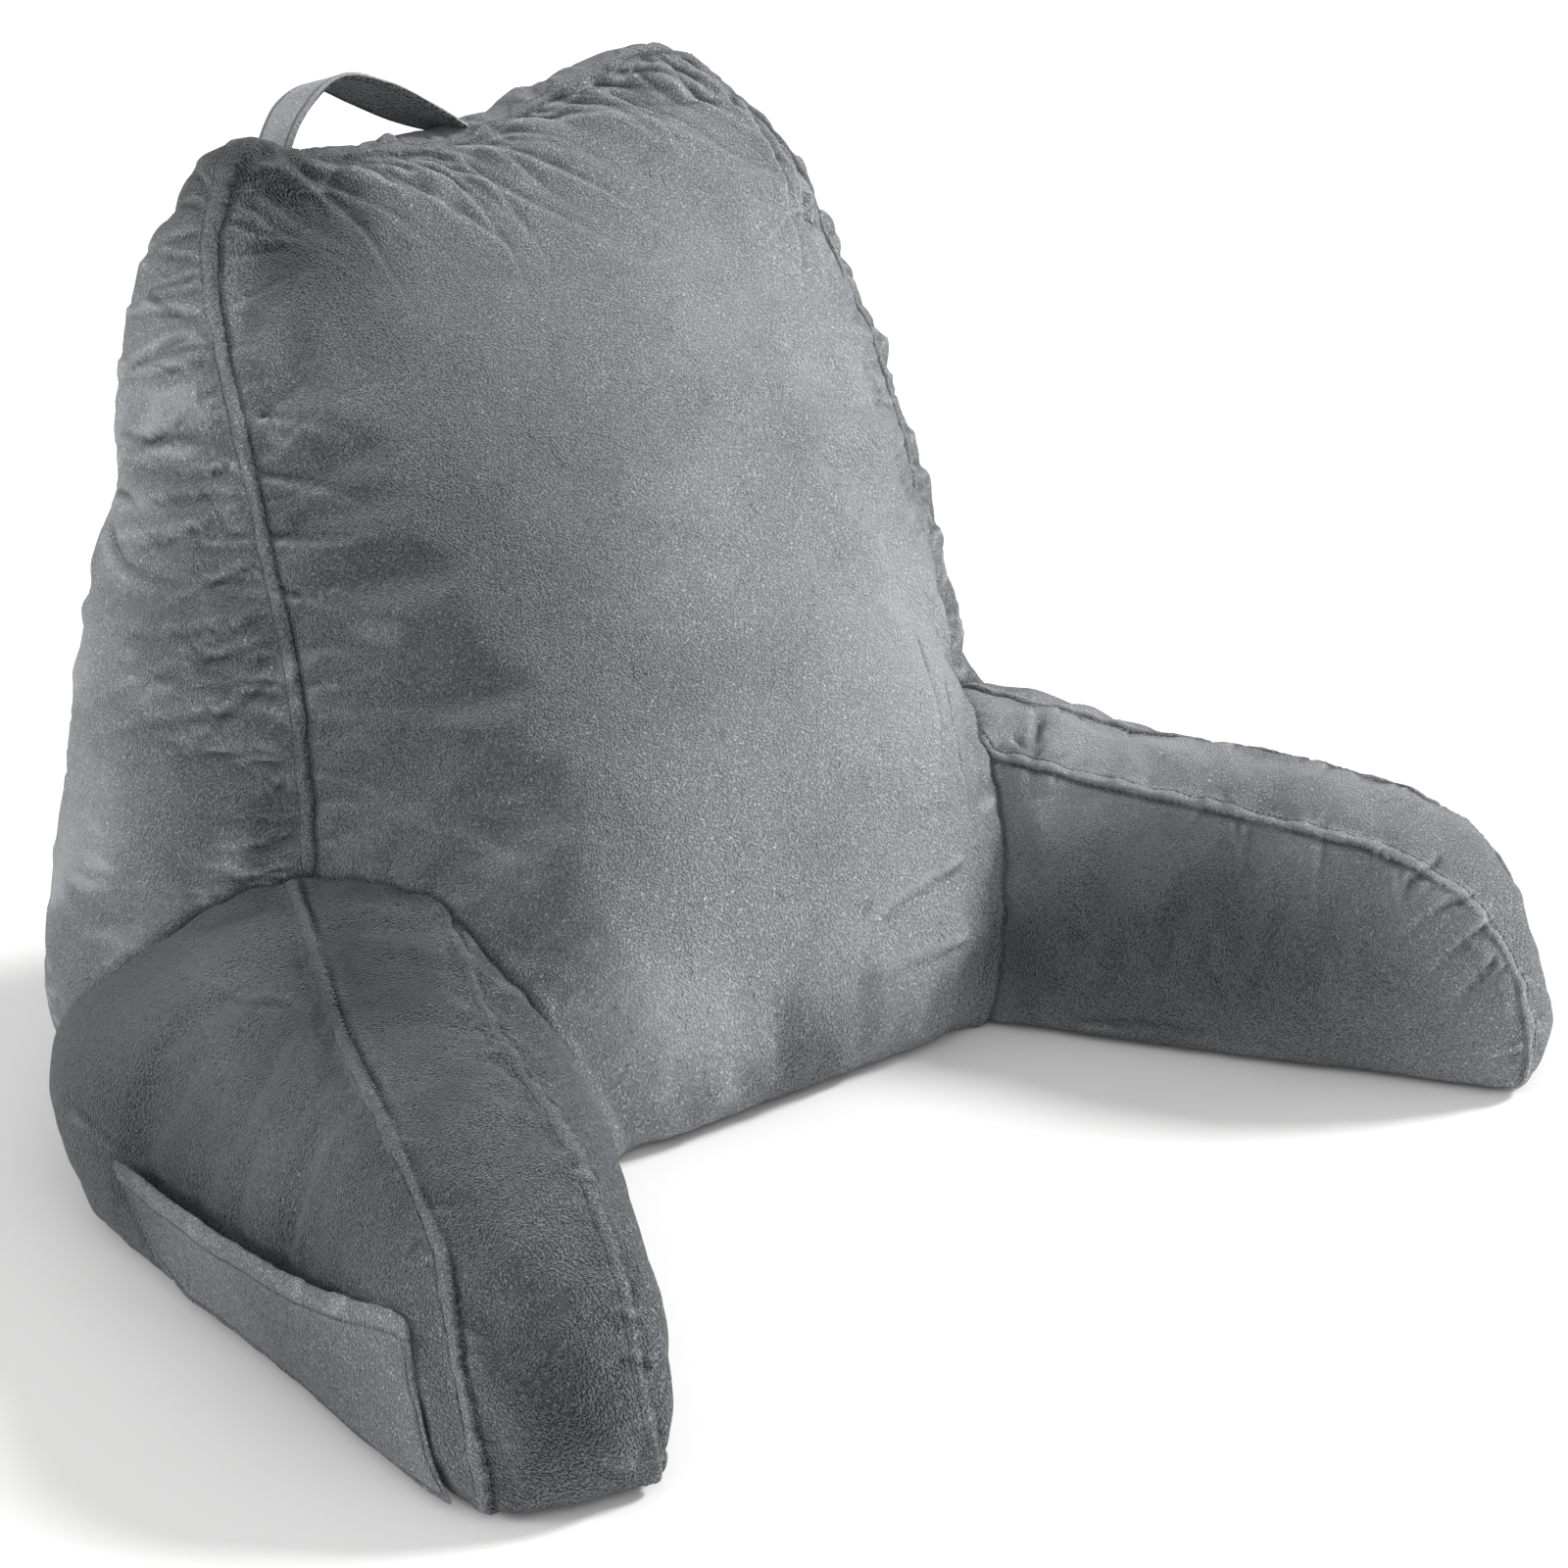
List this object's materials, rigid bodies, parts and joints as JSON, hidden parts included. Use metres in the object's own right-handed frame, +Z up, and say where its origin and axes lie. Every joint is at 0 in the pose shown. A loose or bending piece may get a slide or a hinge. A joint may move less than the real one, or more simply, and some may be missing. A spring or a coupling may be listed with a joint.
{
  "type": "reading pillow",
  "caption": "Stuffed bed-rest backrest with arms, a carry handle on top and a slip pocket on the outer side of one arm.",
  "frame": {"origin": "on the flat underside of the backrest, on its centre plane, 0.08 m behind the foot of the front panel", "axes": "+Z up; the sitter leans on the front panel, which faces -Y; +X is at the right of someone who looks at the pillow from the front"},
  "size_m": [0.757, 0.6209, 0.5256],
  "materials": {
    "cover_velour": "grey short-pile velour, brushed in soft lighter and darker patches",
    "handle_velour": "grey short-pile velour folded to a strap and edge-stitched",
    "pocket_velour": "grey short-pile velour with a stitched hem along the mouth"
  },
  "bodies": {
    "root": {"backrest": "cover_velour", "arm_left": "cover_velour", "arm_right": "cover_velour", "carry_handle": "handle_velour", "side_pocket": "pocket_velour"}
  },
  "joints": []
}
